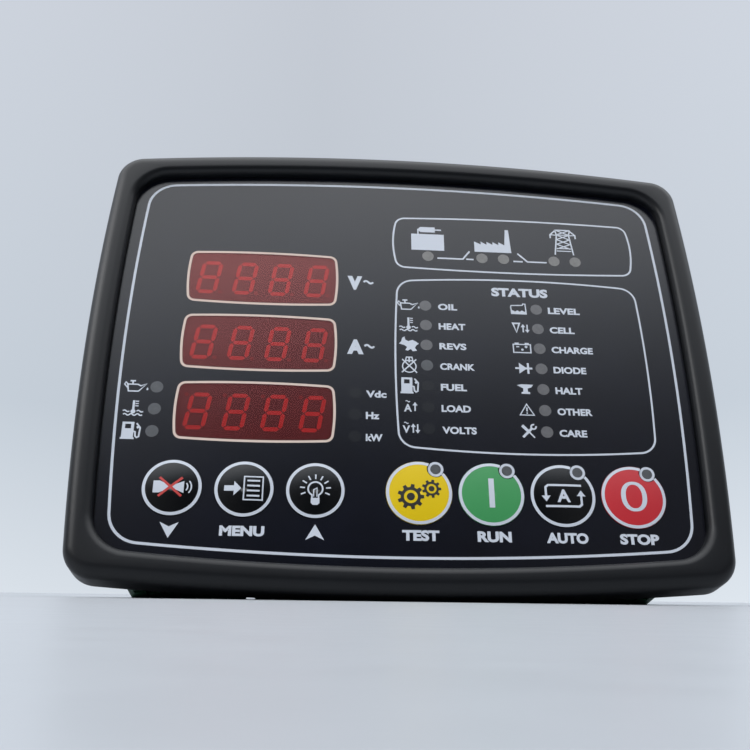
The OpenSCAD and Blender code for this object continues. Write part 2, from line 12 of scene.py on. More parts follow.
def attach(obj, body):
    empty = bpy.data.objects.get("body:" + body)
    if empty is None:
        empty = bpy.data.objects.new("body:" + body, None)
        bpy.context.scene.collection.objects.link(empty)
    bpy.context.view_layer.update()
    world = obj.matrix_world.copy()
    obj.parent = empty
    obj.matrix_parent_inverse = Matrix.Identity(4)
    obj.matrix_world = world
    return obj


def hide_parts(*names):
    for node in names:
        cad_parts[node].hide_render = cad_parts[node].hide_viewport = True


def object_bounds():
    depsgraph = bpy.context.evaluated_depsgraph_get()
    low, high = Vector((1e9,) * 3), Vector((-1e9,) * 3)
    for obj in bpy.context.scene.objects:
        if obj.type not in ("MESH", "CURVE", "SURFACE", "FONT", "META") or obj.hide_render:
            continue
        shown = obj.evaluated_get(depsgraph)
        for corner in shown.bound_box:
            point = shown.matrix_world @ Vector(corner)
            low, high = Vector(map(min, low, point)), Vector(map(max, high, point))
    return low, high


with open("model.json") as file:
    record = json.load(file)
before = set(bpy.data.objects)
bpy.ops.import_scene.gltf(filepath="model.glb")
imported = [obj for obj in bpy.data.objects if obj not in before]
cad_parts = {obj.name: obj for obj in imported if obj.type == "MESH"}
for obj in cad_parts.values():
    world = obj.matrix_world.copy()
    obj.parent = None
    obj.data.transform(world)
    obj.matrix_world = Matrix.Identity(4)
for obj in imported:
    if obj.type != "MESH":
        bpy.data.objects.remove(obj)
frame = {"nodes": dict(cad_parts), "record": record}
cad_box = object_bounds()
nodes = frame["nodes"]

MM = 0.001

# Heights above the panel and places on the face, in millimetres, as in the part's source
BEZEL_W, BEZEL_H, BEZEL_T = 204.6, 160.0, 11.0
BOW_R = 890.0
CAD_CORNER = 13.0
RIM_W, ROLL_R, SHOULDER_R = 8.0, 4.0, 2.5
FACE_W, FACE_H = BEZEL_W - 2 * RIM_W, BEZEL_H - 2 * RIM_W
PLATE_FRONT = 6.6
FILM_FRONT = 7.0
KEY_RIM = FILM_FRONT + 0.2
KEY_DOME = 0.5
MENU_KEY_R = 8.9
MODE_KEY_R = 10.19
KEY_Y = -47.88
MENU_KEYS = {"mute": -70.63, "menu": -49.22, "lamp_test": -27.81}
MODE_KEYS = {"test": 3.75, "run": 26.08, "auto": 48.42, "stop": 70.75}
TAB_OFFSET = (0.52 * MODE_KEY_R, 0.77 * MODE_KEY_R)
LAMP_R = 2.0
LAMP_PITCH = 7.62
ALARM_X = (7.34, 45.26)
ALARM_TOP = 19.41
MIMIC_X = (8.75, 27.65, 35.26, 53.15, 60.68)
MIMIC_Y = 39.59
DISPLAY_X = -47.34
DISPLAY_Y = (27.92, 3.0, -21.92)
DIGIT_PITCH, DIGIT_LEAN = 11.95, 9.0
GROUP_Y = tuple(DISPLAY_Y[2] - i * LAMP_PITCH for i in (-1, 0, 1))
SIDE_LAMP_X = -78.4
UNIT_LAMP_X = -16.04

# The rim as drawn here: in the photograph its corners and lower bow differ a little from the solids
LOW_BOW_R = 1150.0
CORNER_OUT, CORNER_IN = 9.5, 12.0
ROLL_STEPS = 8
HEM_W, HEM_LIFT = 1.0, 0.05

# The print: its outlines, the widths of its lines, and the places of its signs and words
FACE_BORDER = {"w": 180.5, "h": 137.0, "long": 983, "short": 742, "r": 9.7}
MIMIC_BOX = {"w": 84.4, "h": 22.3, "long": 880, "short": 36, "r": 3.4, "x": 38.85, "y": 45.0}
STATUS_BOX = {"w": 84.1, "h": 65.0, "long": 450, "short": 450, "r": 5.6, "x": 39.05, "y": -1.75}
DISPLAY_BORDER = {"w": 49.7, "h": 20.3, "long": 420, "short": 60, "r": 2.3, "x": DISPLAY_X}
BORDER_LINE, BOX_LINE, DISPLAY_LINE, KEY_LINE = 0.85, 0.62, 0.8, 0.95
SMALL_LETTER = 2.5
SIGN_X, LABEL_X = (1.5, 39.3), (11.6, 49.25)
LABELS = ((("OIL", 6.5), ("HEAT", 9.0), ("REVS", 9.0), ("CRANK", 11.5), ("FUEL", 8.5), ("LOAD", 9.5),
           ("VOLTS", 11.0)),
          (("LEVEL", 11.0), ("CELL", 8.5), ("CHARGE", 14.0), ("DIODE", 11.0), ("HALT", 9.0), ("OTHER", 11.5),
           ("CARE", 9.0)))
SIDE_SIGN_X = -84.83
UNIT_LABEL_X = -12.6
KEY_LABEL_Y = -61.0

# Height of the ink over the film, the step between strokes that cross, and the longest edge on a dome
INK = 0.03
INK_STEP = 0.002
INK_LEVELS = 6
LONGEST_EDGE = 2.2


# Node materials

def linear(text):
    """A colour such as #2b2d30 as linear red, green, blue and alpha."""
    out = []
    for i in (1, 3, 5):
        c = int(text[i:i + 2], 16) / 255
        out.append(c / 12.92 if c <= 0.04045 else ((c + 0.055) / 1.055) ** 2.4)
    return (*out, 1.0)


def surface(name, colour, rough=0.5, spread=0.08, vary=0.1, grain=3500.0, bump=0.05, patch=60.0,
            **sockets):
    """A procedural material: patchy colour, grainy roughness and a fine bump; sockets are constants."""
    mat = bpy.data.materials.new(name)
    mat.use_nodes = True
    tree = mat.node_tree
    shader = tree.nodes["Principled BSDF"]
    place = tree.nodes.new("ShaderNodeTexCoord")

    def noise(scale, detail):
        tex = tree.nodes.new("ShaderNodeTexNoise")
        tex.inputs["Scale"].default_value = scale
        tex.inputs["Detail"].default_value = detail
        tree.links.new(place.outputs["Object"], tex.inputs["Vector"])
        return tex

    base = linear(colour)
    ramp = tree.nodes.new("ShaderNodeValToRGB")
    ramp.color_ramp.elements[0].position = 0.3
    ramp.color_ramp.elements[1].position = 0.7
    ramp.color_ramp.elements[0].color = (*(c * (1 - vary) for c in base[:3]), 1)
    ramp.color_ramp.elements[1].color = (*(min(1, c * (1 + vary)) for c in base[:3]), 1)
    tree.links.new(noise(patch, 4).outputs["Fac"], ramp.inputs["Fac"])
    tree.links.new(ramp.outputs["Color"], shader.inputs["Base Color"])
    span = tree.nodes.new("ShaderNodeMapRange")
    span.inputs["To Min"].default_value = max(0.02, rough - spread)
    span.inputs["To Max"].default_value = min(1.0, rough + spread)
    fine = noise(grain, 3)
    tree.links.new(fine.outputs["Fac"], span.inputs["Value"])
    tree.links.new(span.outputs["Result"], shader.inputs["Roughness"])
    relief = tree.nodes.new("ShaderNodeBump")
    relief.inputs["Strength"].default_value = bump
    relief.inputs["Distance"].default_value = 0.0002
    tree.links.new(fine.outputs["Fac"], relief.inputs["Height"])
    tree.links.new(relief.outputs["Normal"], shader.inputs["Normal"])
    for socket, value in sockets.items():
        shader.inputs[socket.replace("_", " ")].default_value = value
    return mat


MATERIALS = {
    "bezel_plastic": surface("bezel_plastic", "#0c0e12", 0.36, 0.1, 0.1, 3200, 0.1, Specular_IOR_Level=0.33),
    "film_black": surface("film_black", "#090b15", 0.17, 0.07, 0.2, 3000, 0.12),
    "window_red": surface("window_red", "#5c0c10", 0.15, 0.06, 0.1, 2600, 0.06, Alpha=0.45, IOR=1.8,
                          Specular_IOR_Level=0.78, Specular_Tint=(1.0, 0.48, 0.46, 1)),
    "seal_rubber": surface("seal_rubber", "#1b1b1b", 0.75, 0.1, 0.1, 2500, 0.3),
    "display_grey": surface("display_grey", "#3a2224", 0.6, 0.05, 0.06),
    # digit_red's emission is painted glow, standing in for the light that the red window keeps off the digits
    "digit_red": surface("digit_red", "#c02a28", 0.45, 0.06, 0.08,
                         Emission_Color=(0.5, 0.012, 0.01, 1), Emission_Strength=1.0),
    "lamp_clear": surface("lamp_clear", "#c9ccd0", 0.25, 0.05, 0.03),
    "nylon_white": surface("nylon_white", "#e4e4e0", 0.55, 0.06, 0.03),
    "key_black": surface("key_black", "#07080a", 0.16, 0.05, 0.1, 2600, 0.03),
    "key_yellow": surface("key_yellow", "#d8b900", 0.4, 0.06, 0.03, 4000, 0.06, Specular_IOR_Level=0.3),
    "key_green": surface("key_green", "#368c4f", 0.4, 0.06, 0.04, 4000, 0.06),
    "key_red": surface("key_red", "#b81f2a", 0.4, 0.06, 0.04, 4000, 0.06),
    "switch_black": surface("switch_black", "#2a2a2c", 0.5),
    "board_green": surface("board_green", "#1f5a36", 0.3, 0.06, 0.12, 900, 0.1),
    "brass": surface("brass", "#b9a05a", 0.3, 0.08, 0.06, 2500, 0.1, Metallic=1.0),
    "zinc_steel": surface("zinc_steel", "#b4b7ba", 0.32, 0.08, 0.06, 2500, 0.1, Metallic=1.0),
    "relay_blue": surface("relay_blue", "#2c4a78", 0.42),
    "part_black": surface("part_black", "#202225", 0.5),
    "sleeve_blue": surface("sleeve_blue", "#23304a", 0.3),
    # terminal_green is the plugs' own green, darkened further as painted shade for the shadow that the bezel
    # casts on them
    "terminal_green": surface("terminal_green", "#1b4a33", 0.5, 0.08, 0.06, 2200, 0.12),
    "case_plastic": surface("case_plastic", "#1b1c1f", 0.55, 0.1, 0.1, 2800, 0.35),
}
INKS = {
    "white": surface("ink_white", "#c5cbd5", 0.2, 0.06, 0.03, 3000, 0.08),
    "border": surface("ink_border", "#cfbcb0", 0.5, 0.06, 0.03, 5200, 0.1),
    "grey": surface("ink_grey", "#626264", 0.2, 0.06, 0.1, 3000, 0.08, 900.0),
    "pale": surface("ink_pale", "#737270", 0.2, 0.06, 0.1, 3000, 0.08, 900.0),
    "dim": surface("ink_dim", "#535558", 0.2, 0.06, 0.1, 3000, 0.08, 900.0),
    "dark": surface("ink_dark", "#14161b", 0.2, 0.06, 0.1, 3000, 0.08, 900.0),
    "black": surface("ink_black", "#15150f", 0.45, 0.06, 0.05, 5200, 0.1),
    "red": surface("ink_red", "#b8332f", 0.45, 0.06, 0.04, 5200, 0.1),
    "stop": MATERIALS["key_red"],
}

for part in frame["record"]["subparts"]:
    mesh = nodes[part["node"]].data
    mesh.materials.clear()
    mesh.materials.append(MATERIALS[part["material_slot"]])


# Flat print

def arc(x, y, r, start, end, count=24):
    """Points on a circle's arc, with the angles in degrees."""
    turns = [math.radians(start + (end - start) * i / count) for i in range(count + 1)]
    return [(x + r * math.cos(t), y + r * math.sin(t)) for t in turns]


def wave(x0, x1, y, height, humps):
    """Points on a wavy line."""
    count = 8 * humps
    return [(x0 + (x1 - x0) * i / count, y + height * math.sin(2 * math.pi * humps * i / count))
            for i in range(count + 1)]


def bowed(w, h, long, short, r, x=0.0, y=0.0, low=None):
    """Outline of a bowed rectangle, its sides tangent to its corners.

    The bow radii are long for the upper side, low for the lower side if it differs, and short for the others.
    """

    def upper_half(long):
        drop, back = long - h / 2, short - w / 2
        apart = math.hypot(drop, back)
        along = ((long - r) ** 2 - (short - r) ** 2 + apart * apart) / (2 * apart)
        off = math.sqrt((long - r) ** 2 - along * along)
        cx, cy = (off * drop - along * back) / apart, (along * drop + off * back) / apart - drop
        top = math.degrees(math.atan2(cx, cy + drop))
        side = math.degrees(math.atan2(cy, cx + back))
        points = arc(-back, 0, short, 0, side, 10) + arc(cx, cy, r, side, 90 - top, 14)[1:]
        points += arc(0, -drop, long, 90 - top, 90, 18)[1:]
        return points + [(-px, py) for px, py in reversed(points[:-1])]

    full = upper_half(long) + [(px, -py) for px, py in reversed(upper_half(low or long)[1:-1])]
    return [(px + x, py + y) for px, py in full]


class Print:
    """Flat ink, gathered by colour into one mesh that lies on the face or on a key."""

    def __init__(self, x=0.0, y=0.0):
        self.move(x, y)
        self.ink = {}
        self.count = 0

    def move(self, x, y):
        """Draws what follows about this point."""
        self.x, self.y = x, y
        return self

    def add(self, colour, points, triangles):
        verts, faces = self.ink.setdefault(colour, ([], []))
        base = len(verts)
        level = INK_STEP * (self.count % INK_LEVELS)
        self.count += 1
        verts += [(self.x + px, self.y + py, level) for px, py in points]
        for a, b, c in triangles:
            pa, pb, pc = points[a], points[b], points[c]
            area = (pb[0] - pa[0]) * (pc[1] - pa[1]) - (pc[0] - pa[0]) * (pb[1] - pa[1])
            faces.append((base + a, base + b, base + c) if area > 0 else (base + a, base + c, base + b))

    def fill(self, outline, holes=(), colour="white"):
        loops = [outline, *holes]
        points = [p for loop in loops for p in loop]
        triangles = tessellate_polygon([[Vector((px, py, 0)) for px, py in loop] for loop in loops])
        self.add(colour, points, triangles)

    def line(self, points, width, closed=False, colour="white"):
        count = len(points)
        left, right = [], []
        for i, (px, py) in enumerate(points):
            normals = []
            for j in (i - 1, i):
                if closed or 0 <= j < count - 1:
                    ax, ay = points[j % count]
                    bx, by = points[(j + 1) % count]
                    length = math.hypot(bx - ax, by - ay)
                    normals.append((-(by - ay) / length, (bx - ax) / length))
            nx = sum(n[0] for n in normals) / len(normals)
            ny = sum(n[1] for n in normals) / len(normals)
            reach = width / 2 / max(0.35, nx * nx + ny * ny)
            left.append((px + nx * reach, py + ny * reach))
            right.append((px - nx * reach, py - ny * reach))
        triangles = []
        for i in range(count if closed else count - 1):
            j = (i + 1) % count
            triangles += [(i, j, count + j), (i, count + j, count + i)]
        self.add(colour, left + right, triangles)

    def disc(self, x, y, r, colour="white"):
        self.fill(arc(x, y, r, 0, 360, 32)[:-1], colour=colour)

    def ring(self, x, y, r, width, colour="white", start=0.0, end=360.0):
        whole = end - start >= 360
        points = arc(x, y, r, start, end, 64)
        self.line(points[:-1] if whole else points, width, whole, colour)

    def words(self, text, x, y, height, width, bold=0.04, anchor=0.0):
        """White letters of the given size; anchor is 0 at their left end and 0.5 in their middle."""
        curve = bpy.data.curves.new("letters", "FONT")
        curve.body = text
        curve.offset = bold
        curve.resolution_u = 4
        holder = bpy.data.objects.new("letters", curve)
        bpy.context.scene.collection.objects.link(holder)
        graph = bpy.context.evaluated_depsgraph_get()
        mesh = bpy.data.meshes.new_from_object(holder.evaluated_get(graph))
        mesh.calc_loop_triangles()
        corners = [v.co.copy() for v in mesh.vertices]
        triangles = [tuple(t.vertices) for t in mesh.loop_triangles]
        low_x, high_x = min(c.x for c in corners), max(c.x for c in corners)
        low_y, high_y = min(c.y for c in corners), max(c.y for c in corners)
        sx, sy = width / (high_x - low_x), height / (high_y - low_y)
        middle_y = (low_y + high_y) / 2
        points = [(x + (c.x - low_x) * sx - anchor * width, y + (c.y - middle_y) * sy) for c in corners]
        self.add("white", points, triangles)
        bpy.data.objects.remove(holder)
        bpy.data.meshes.remove(mesh)
        bpy.data.curves.remove(curve)

    def lay(self, name, body, height):
        """Makes one piece for each colour; height gives the surface under a point."""
        for colour, (verts, faces) in self.ink.items():
            bm = bmesh.new()
            corners = [bm.verts.new(v) for v in verts]
            for face in faces:
                if len(set(face)) == 3:
                    bm.faces.new([corners[i] for i in face])
            for _ in range(5):
                long = [e for e in bm.edges if e.calc_length() > LONGEST_EDGE]
                if height is flat or not long:
                    break
                bmesh.ops.subdivide_edges(bm, edges=long, cuts=1)
                bmesh.ops.triangulate(bm, faces=bm.faces[:])
            for v in bm.verts:
                px, py, level = v.co
                v.co = (px * MM, -(height(px, py) + INK + level) * MM, py * MM)
            mesh = bpy.data.meshes.new(f"{name}_{colour}")
            bm.to_mesh(mesh)
            bm.free()
            mesh.materials.append(INKS[colour])
            piece = bpy.data.objects.new(mesh.name, mesh)
            bpy.context.scene.collection.objects.link(piece)
            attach(piece, body)


def flat(px, py):
    """Height of the film, the same everywhere."""
    return FILM_FRONT


def dome(x, r):
    """Height of a key's domed face about its middle."""
    ball = (r * r + KEY_DOME * KEY_DOME) / (2 * KEY_DOME)

    def height(px, py):
        return KEY_RIM + KEY_DOME - ball + math.sqrt(ball * ball - (px - x) ** 2 - (py - KEY_Y) ** 2)

    return height


# Signs, drawn about their middle in millimetres

def oil_can(p):
    p.line([(-2.6, 0.7), (0.5, 0.7), (1.5, 0.2), (3.4, 1.0), (0.9, -1.7), (-2.2, -1.7)], 0.45, True)
    p.line([(-2.6, -0.5), (-3.6, 0.7), (-3.2, 1.4), (-2.5, 0.8)], 0.4)
    p.line([(-1.9, 1.9), (-0.2, 1.9)], 0.5)
    p.line([(-1.05, 1.8), (-1.05, 0.8)], 0.5)
    p.fill([(3.6, -0.2), (3.95, -1.0), (3.6, -1.35), (3.25, -1.0)])


def thermometer(p):
    p.line([(0, -0.9), (0, 2.7)], 0.7)
    p.disc(0, -1.1, 0.75)
    for y in (2.4, 1.6, 0.8):
        p.line([(0.5, y), (1.5, y)], 0.36)
    p.line(wave(-3.1, -1.1, -1.0, 0.28, 1), 0.42)
    p.line(wave(1.1, 3.1, -1.0, 0.28, 1), 0.42)
    p.line(wave(-2.9, 2.9, -2.2, 0.28, 3), 0.42)


def fuel_pump(p):
    p.fill([(-3.0, -2.9), (1.2, -2.9), (1.2, -2.3), (0.9, -2.3), (0.9, 2.9), (-2.7, 2.9), (-2.7, -2.3),
            (-3.0, -2.3)], [[(-1.8, 0.7), (0.0, 0.7), (0.0, 2.2), (-1.8, 2.2)]])
    p.line([(0.9, -0.3), (1.4, -0.4), (1.5, -1.8), (2.0, -2.3), (2.6, -2.0), (2.8, 1.0), (1.6, 2.5)], 0.5)
    p.fill([(2.9, 1.2), (2.2, 1.9), (1.6, 1.2), (2.0, 0.6)])


def hare(p):
    p.fill([(-3.3, 0.2), (-2.5, 1.1), (-2.2, 2.4), (-1.4, 2.9), (-1.2, 1.8), (-0.2, 1.2), (1.2, 1.7),
            (2.4, 1.1), (3.3, 0.3), (2.5, -0.3), (2.0, -1.3), (2.7, -2.3), (1.3, -2.6), (0.6, -1.8),
            (-0.4, -2.4), (-1.2, -2.2), (-0.6, -1.0), (-1.6, -0.3)])
    p.line(arc(1.3, -0.1, 0.8, 20, 190, 12), 0.3, colour="black")


def crossed_engine(p):
    p.ring(0, -0.6, 2.2, 0.4)
    p.line([(-2.5, -2.9), (2.3, 2.0)], 0.45)
    p.line([(2.5, -2.9), (-2.3, 2.0)], 0.45)
    p.line([(-1.2, 1.5), (-0.9, 2.8), (0.9, 2.8), (1.2, 1.5)], 0.4, True)
    p.line([(0, 2.6), (0, 0.9)], 0.5)


def arrow(p, x, up):
    s = 1 if up else -1
    p.line([(x, -1.5 * s), (x, 0.8 * s)], 0.45)
    p.fill([(x - 0.8, 0.5 * s), (x + 0.8, 0.5 * s), (x, 1.7 * s)])


def swung(p, x, y, width, bold=0.3):
    p.line(wave(x - width / 2, x + width / 2, y, 0.16 * width, 1), bold)


def amps_high(p):
    p.words("A", -0.7, -0.4, 2.7, 2.5, 0.03, 0.5)
    swung(p, -0.7, 1.9, 1.4)
    arrow(p, 1.6, True)


def volts_off(p):
    p.words("V", -1.3, -0.3, 2.6, 2.4, 0.03, 0.5)
    swung(p, -1.3, 1.9, 1.4)
    arrow(p, 0.9, True)
    arrow(p, 2.3, False)


def coolant(p):
    p.line([(-2.6, -1.9), (-2.8, 0.9), (-2.6, 1.3), (1.2, 1.5), (1.5, 2.1), (2.2, 2.0), (2.4, -1.9)], 0.4,
           True)
    p.fill([(-2.6, -1.9), (2.4, -1.9), (2.4, -0.7)] + list(reversed(wave(-2.6, 2.2, -0.8, 0.22, 3))))


def cell_volts(p):
    p.line([(-2.5, 1.9), (-0.3, 1.9), (-1.4, -1.6)], 0.6, True)
    arrow(p, 0.9, True)
    arrow(p, 2.3, False)


def battery(p):
    p.line([(-2.9, -1.7), (2.9, -1.7), (2.9, 1.4), (-2.9, 1.4)], 0.42, True)
    for x in (-1.7, 1.7):
        p.line([(x - 0.7, 1.8), (x + 0.7, 1.8)], 0.5)
    p.line([(-1.9, 0.5), (-0.9, 0.5)], 0.4)
    p.line([(0.9, 0.5), (1.9, 0.5)], 0.4)
    p.line([(1.4, 1.0), (1.4, 0.0)], 0.4)
    p.disc(0.1, -0.6, 0.42)


def diode(p):
    p.line([(-2.8, 0), (2.9, 0)], 0.7)
    p.fill([(-1.5, -2.0), (1.1, 0), (-1.5, 2.0)])
    p.line([(1.5, -2.0), (1.5, 2.0)], 0.7)


def mushroom(p):
    p.fill([(-2.7, 1.3), (-1.2, 1.7), (2.7, 1.6), (2.0, 0.6), (0.8, 0.2), (0.8, -1.0), (1.5, -1.2),
            (1.5, -1.8), (-1.3, -1.8), (-1.3, -1.2), (-0.7, -1.0), (-0.7, 0.2), (-1.6, 0.7)])


def triangle(p):
    p.line([(-2.3, -1.8), (2.3, -1.8), (0, 2.1)], 0.5, True)
    p.line([(0, 0.9), (0, -0.5)], 0.5)
    p.disc(0, -1.1, 0.26)


def tools(p):
    p.line([(-1.9, -2.0), (1.2, 1.2)], 0.8)
    p.line(arc(1.7, 1.7, 0.8, 70, 380, 16), 0.55)
    p.line([(-2.0, 2.1), (0.2, -0.2)], 1.0)
    p.line([(0.2, -0.2), (1.9, -2.1)], 0.5)


# The face

def face_print():
    p = Print()
    p.line(bowed(**FACE_BORDER), BORDER_LINE, True)
    p.line(bowed(**MIMIC_BOX), BOX_LINE, True)
    p.line(bowed(**STATUS_BOX), BOX_LINE, True)
    for y in DISPLAY_Y:
        p.line(bowed(**DISPLAY_BORDER, y=y), DISPLAY_LINE, True, "border")
    signs = ((oil_can, thermometer, hare, crossed_engine, fuel_pump, amps_high, volts_off),
             (coolant, cell_volts, battery, diode, mushroom, triangle, tools))
    lamps = (("grey",) * 3 + ("dim",) + ("dark",) * 3, ("grey",) * 7)
    for column in (0, 1):
        for row, (text, width) in enumerate(LABELS[column]):
            y = ALARM_TOP - row * LAMP_PITCH
            signs[column][row](p.move(SIGN_X[column], y))
            p.move(0, 0).words(text, LABEL_X[column], y - 0.3, SMALL_LETTER, width)
            p.disc(ALARM_X[column], y, LAMP_R, lamps[column][row])
    p.words("STATUS", 39.9, 25.9, 3.5, 19.5, 0.05, 0.5)
    for x in MIMIC_X:
        p.disc(x, MIMIC_Y, LAMP_R, "pale")
    for y, sign in zip(GROUP_Y, (oil_can, thermometer, fuel_pump)):
        sign(p.move(SIDE_SIGN_X, y))
        p.move(0, 0).disc(SIDE_LAMP_X, y, LAMP_R, "dim")
        p.disc(UNIT_LAMP_X, y, LAMP_R, "dark")
    mimic(p)
    units(p)
    key_labels(p)
    p.lay("face_print", "controller", flat)


def mimic(p):
    """Generator, building and pylon with the two switches between them."""
    p.move(8.84, 45.4)
    p.fill([(-5.8, -3.3), (5.7, -3.3), (5.7, 3.5), (-5.8, 3.5)])
    p.fill([(-2.5, 4.3), (2.6, 4.3), (2.6, 6.5), (-2.5, 6.5), (-3.2, 5.9), (-3.2, 4.9)])
    p.line([(-3.4, 3.5), (-3.4, 5.4), (-2.8, 5.4)], 0.5)
    p.line([(2.6, 5.4), (4.8, 5.4)], 0.55)
    p.move(31.7, 45.7)
    teeth = [(-6.5, -3.4), (-6.5, 0.9)]
    for i in range(5):
        teeth += [(-4.2 + 2.1 * i, -0.2), (-4.2 + 2.1 * i, 1.0)]
    p.fill(teeth[:-1] + [(4.7, 6.4), (5.9, 6.4), (6.5, -3.4)])
    p.move(57.15, 46.05)
    for s in (-1, 1):
        p.line([(s * 3.3, -3.6), (s * 2.2, 4.8), (s * 2.7, 7.1)], 0.5)
        p.line([(s * 2.4, 7.0), (s * 4.5, 4.9), (s * 4.5, 3.4)], 0.5)
        p.line([(s * 2.2, 4.8), (s * 4.5, 4.9)], 0.4)
    p.line([(-2.7, 7.0), (2.7, 7.0)], 0.5)
    for i in range(4):
        y = 6.9 - i * 2.0
        for s in (-1, 1):
            p.line([(s * 2.3, y), (-s * 2.4, y - 2.0)], 0.42)
    for y in (4.9, -0.9, -2.0):
        p.line([(-2.6, y), (2.6, y)], 0.4)
    p.move(0, 0)
    p.line([(12.0, 38.95), (20.9, 38.95), (23.4, 42.3)], 0.6)
    p.line([(22.1, 38.95), (24.7, 38.95)], 0.6)
    p.line([(38.7, 38.85), (42.0, 38.85)], 0.6)
    p.line([(40.3, 42.2), (43.7, 38.85), (50.5, 38.85)], 0.6)


def units(p):
    """Plain unit signs beside the displays."""
    p.words("V", -19.0, 27.43, 5.5, 5.0, 0.08)
    swung(p, -11.93, 27.88, 3.2, 0.7)
    p.words("A", -18.8, 2.58, 5.5, 5.4, 0.08)
    swung(p, -11.53, 2.92, 3.2, 0.7)
    for y, (text, width) in zip(GROUP_Y, (("Vdc", 6.6), ("Hz", 4.3), ("kW", 5.3))):
        p.words(text, UNIT_LABEL_X, y - 0.3, SMALL_LETTER, width)


def key_labels(p):
    """Words and arrows under the keys, and the lamps at the mode keys."""
    p.words("MENU", MENU_KEYS["menu"] + 0.1, KEY_LABEL_Y - 0.1, 3.2, 13.2, 0.05, 0.5)
    for name, width in (("test", 11.2), ("run", 10.4), ("auto", 12.9), ("stop", 12.2)):
        p.words(name.upper(), MODE_KEYS[name] + 0.25, KEY_LABEL_Y - 0.5, 3.4, width, 0.05, 0.5)
    for name, s in (("mute", -1), ("lamp_test", 1)):
        p.move(MENU_KEYS[name] + 0.2, KEY_LABEL_Y - 0.1)
        p.fill([(-2.8, -2.4 * s), (0, -1.0 * s), (2.8, -2.4 * s), (0, 2.5 * s)])
    p.move(0, 0)
    for x in MODE_KEYS.values():
        p.ring(x + TAB_OFFSET[0], KEY_Y + TAB_OFFSET[1], 2.05, 0.8)
        p.disc(x + TAB_OFFSET[0], KEY_Y + TAB_OFFSET[1], 1.6, "dim")


# The keys

def mute(p):
    p.fill([(-5.5, -1.9), (-3.6, -1.9), (-0.9, -0.6), (0.5, -0.6), (3.6, -1.9), (3.6, 1.9), (0.5, 0.6),
            (-0.9, 0.6), (-3.6, 1.9), (-5.5, 1.9)])
    for r in (1.7, 2.8):
        p.line(arc(3.0, 0.1, r, -42, 42, 10), 0.42)
    p.line([(-3.8, 3.0), (3.0, -2.9)], 0.75, colour="red")
    p.line([(-3.8, -3.0), (3.0, 3.0)], 0.75, colour="red")


def menu(p):
    p.fill([(-5.9, -0.85), (-3.0, -0.85), (-3.0, -2.3), (-0.8, 0), (-3.0, 2.3), (-3.0, 0.85), (-5.9, 0.85)])
    p.line([(0.0, -3.6), (5.6, -3.6), (5.6, 3.8), (0.0, 3.8)], 0.42, True)
    for y in (2.5, 0.9, -0.7, -2.3):
        p.line([(0.9, y), (4.7, y)], 0.55)


def lamp_test(p):
    p.line(arc(0, 0.3, 2.2, -60, 240, 28), 0.5)
    p.line([(-1.0, -1.4), (-1.0, -2.6)], 0.45)
    p.line([(1.0, -1.4), (1.0, -2.6)], 0.45)
    p.line([(-0.5, -2.2), (-0.5, 0.0), (0.5, 0.6), (0.5, -2.2)], 0.32)
    p.fill([(-1.3, -2.6), (1.3, -2.6), (1.3, -4.2), (0.7, -4.8), (-0.7, -4.8), (-1.3, -4.2)])
    for i in range(9):
        turn = math.radians(-22 + 28 * i)
        c, s = math.cos(turn), math.sin(turn)
        p.line([(3.2 * c, 0.3 + 3.2 * s), (4.7 * c, 0.3 + 4.7 * s)], 0.45)


def gear(p, x, y, r, teeth):
    outline = []
    for i in range(teeth):
        for step, reach in ((-0.3, 0.76), (-0.18, 1.0), (0.18, 1.0), (0.3, 0.76)):
            turn = 2 * math.pi * (i + step) / teeth
            outline.append((x + r * reach * math.cos(turn), y + r * reach * math.sin(turn)))
    p.fill(outline, [arc(x, y, r * 0.52, 0, 360, 24)[:-1]], "black")
    p.disc(x, y, r * 0.3, "black")


def test(p):
    gear(p, -2.6, -1.5, 4.1, 9)
    gear(p, 3.8, 1.2, 3.0, 9)


def run(p):
    p.fill([(-0.85, -4.5), (0.85, -4.5), (0.85, 5.0), (-0.85, 5.0)])


def auto(p):
    p.line([(-5.4, -0.6), (-5.4, 2.6), (-4.6, 3.3), (5.9, 3.3)], 0.7)
    p.fill([(-6.8, -0.2), (-4.0, -0.2), (-5.4, -2.1)])
    p.line([(5.6, 0.2), (5.6, -2.9), (4.8, -3.6), (-5.7, -3.6)], 0.7)
    p.fill([(4.2, -0.2), (7.0, -0.2), (5.6, 1.7)])
    p.words("A", 0.1, -0.2, 4.2, 4.2, 0.03, 0.5)


def stop(p):
    def oval(w, h):
        return [(w * math.copysign(abs(math.cos(t)) ** 0.9, math.cos(t)),
                 h * math.copysign(abs(math.sin(t)) ** 0.9, math.sin(t)) + 0.1)
                for t in (2 * math.pi * i / 48 for i in range(48))]

    p.fill(oval(2.9, 4.2), colour="stop")
    p.fill(oval(4.1, 4.9), [oval(2.6, 3.9)])


def key_prints():
    for sign, (name, x) in zip((mute, menu, lamp_test), MENU_KEYS.items()):
        p = Print(x, KEY_Y)
        p.ring(0, 0, MENU_KEY_R - 0.55, KEY_LINE)
        sign(p)
        p.lay(f"key_{name}_print", f"key_{name}", dome(x, MENU_KEY_R))
    tab_turn = math.degrees(math.atan2(TAB_OFFSET[1], TAB_OFFSET[0]))
    for sign, (name, x) in zip((test, run, auto, stop), MODE_KEYS.items()):
        p = Print(x, KEY_Y)
        p.ring(0, 0, MODE_KEY_R - 0.52, KEY_LINE, start=tab_turn + 15.5, end=tab_turn + 344.5)
        sign(p)
        p.lay(f"key_{name}_print", f"key_{name}", dome(x, MODE_KEY_R))


# The bezel and the digits

